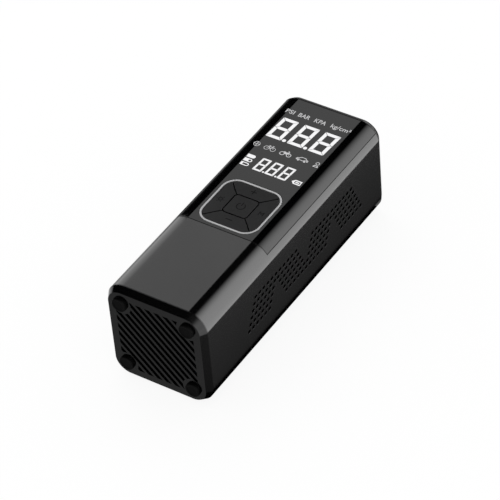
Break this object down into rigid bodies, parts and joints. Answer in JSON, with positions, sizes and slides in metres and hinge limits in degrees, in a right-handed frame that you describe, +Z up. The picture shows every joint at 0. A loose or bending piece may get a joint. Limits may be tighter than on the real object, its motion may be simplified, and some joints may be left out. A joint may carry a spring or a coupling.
{
  "type": "portable tire inflator",
  "caption": "Rounded square cordless tire inflator with a wrap-over display, ringed keypad, zigzag side vents, a diagonal intake grille on rubber feet, and a piston pump inside.",
  "frame": {"origin": "middle of the overall size, on the surface that the tool lies on (its back, opposite the display)", "axes": "+Z up out of the display, +Y along the body from the intake grille to the hose socket, +X to the right of someone who looks at the display with the grille end nearest"},
  "size_m": [0.06, 0.1752, 0.0605],
  "materials": {
    "housing_plastic": "satin black plastic",
    "panel_gloss": "gloss black acrylic",
    "key_plastic": "satin black plastic",
    "ring_white": "frosted pale light guide",
    "foot_rubber": "matte black rubber",
    "inner_plastic": "moulded dark grey",
    "board_green": "green circuit board",
    "display_white": "white light mask",
    "steel": "plain steel",
    "zinc_screw": "zinc plated",
    "aluminium": "die cast",
    "brass": "turned brass",
    "cell_wrap": null,
    "nickel": "nickel strip",
    "magnet": "dull ferrite",
    "gear_nylon": "natural nylon",
    "seal": "black seal",
    "hose_silicone": "translucent silicone",
    "lens_clear": "clear lens"
  },
  "bodies": {
    "body": {"housing": "housing_plastic", "front_cap": "housing_plastic", "rear_cap": "housing_plastic", "foot_upper_left": "foot_rubber", "foot_lower_left": "foot_rubber", "foot_upper_right": "foot_rubber", "foot_lower_right": "foot_rubber", "cap_screw_upper_left": "zinc_screw", "cap_screw_lower_left": "zinc_screw", "cap_screw_upper_right": "zinc_screw", "cap_screw_lower_right": "zinc_screw", "display_panel": "panel_gloss", "light_ring": "ring_white", "switch_power": "inner_plastic", "switch_plus": "inner_plastic", "switch_minus": "inner_plastic", "switch_mode": "inner_plastic", "switch_lamp": "inner_plastic", "main_board": "board_green", "board_screw_front_left": "zinc_screw", "board_screw_front_right": "zinc_screw", "board_screw_rear_left": "zinc_screw", "board_screw_rear_right": "zinc_screw", "display_module": "display_white", "pressure_sensor": "inner_plastic", "battery_cell_left": "cell_wrap", "battery_cell_right": "cell_wrap", "battery_cell_top": "cell_wrap", "battery_holder": "inner_plastic", "battery_strip_front": "nickel", "battery_strip_rear": "nickel", "motor_can": "steel", "motor_end_cap": "inner_plastic", "motor_magnet": "magnet", "gear_axle": "steel", "pump_frame": "aluminium", "pump_cylinder": "aluminium", "valve_plate": "steel", "cylinder_head": "aluminium", "air_hose": "hose_silicone", "hose_socket": "brass", "socket_nut": "brass", "lamp_lens": "lens_clear", "lamp_reflector": "aluminium", "lamp_led": "display_white", "usb_port": "steel"},
    "power_key": {"key_power": "key_plastic"},
    "plus_key": {"key_plus": "key_plastic"},
    "minus_key": {"key_minus": "key_plastic"},
    "mode_key": {"key_mode": "key_plastic"},
    "lamp_key": {"key_lamp": "key_plastic"},
    "rotor": {"motor_armature": "steel", "motor_shaft": "steel", "pinion": "brass"},
    "crank": {"crank_gear": "gear_nylon"},
    "piston_group": {"piston": "aluminium", "piston_ring": "seal", "wrist_pin": "steel"},
    "rod": {"connecting_rod": "aluminium", "crank_pin": "steel"}
  },
  "joints": [
    {"name": "power_key_press", "type": "slide", "parent": "body", "child": "power_key", "axis": [0, 0, -1], "range_m": [0, 0.0005], "stiffness_N_per_m": 500},
    {"name": "plus_key_press", "type": "slide", "parent": "body", "child": "plus_key", "axis": [0, 0, -1], "range_m": [0, 0.0005], "stiffness_N_per_m": 500},
    {"name": "minus_key_press", "type": "slide", "parent": "body", "child": "minus_key", "axis": [0, 0, -1], "range_m": [0, 0.0005], "stiffness_N_per_m": 500},
    {"name": "mode_key_press", "type": "slide", "parent": "body", "child": "mode_key", "axis": [0, 0, -1], "range_m": [0, 0.0005], "stiffness_N_per_m": 500},
    {"name": "lamp_key_press", "type": "slide", "parent": "body", "child": "lamp_key", "axis": [0, 0, -1], "range_m": [0, 0.0005], "stiffness_N_per_m": 500},
    {"name": "rotor_spin", "type": "hinge", "parent": "body", "child": "rotor", "pos_m": [-0.0044, 0.0355, 0.01725], "axis": [0, 1, 0], "continuous": true},
    {"name": "crank_spin", "type": "hinge", "parent": "body", "child": "crank", "pos_m": [-0.0133, 0.038, 0.0312], "axis": [0, 1, 0], "continuous": true},
    {"name": "piston_stroke", "type": "slide", "parent": "body", "child": "piston_group", "axis": [1, 0, 0], "range_m": [-0.008, 0]},
    {"name": "rod_swing", "type": "hinge", "parent": "piston_group", "child": "rod", "pos_m": [0.0137, 0.0465, 0.0312], "axis": [0, 1, 0], "range_deg": [-10, 10]}
  ],
  "couplings": [
    {"joint": "crank_spin", "follows": "rotor_spin", "ratio": -0.28125}
  ]
}
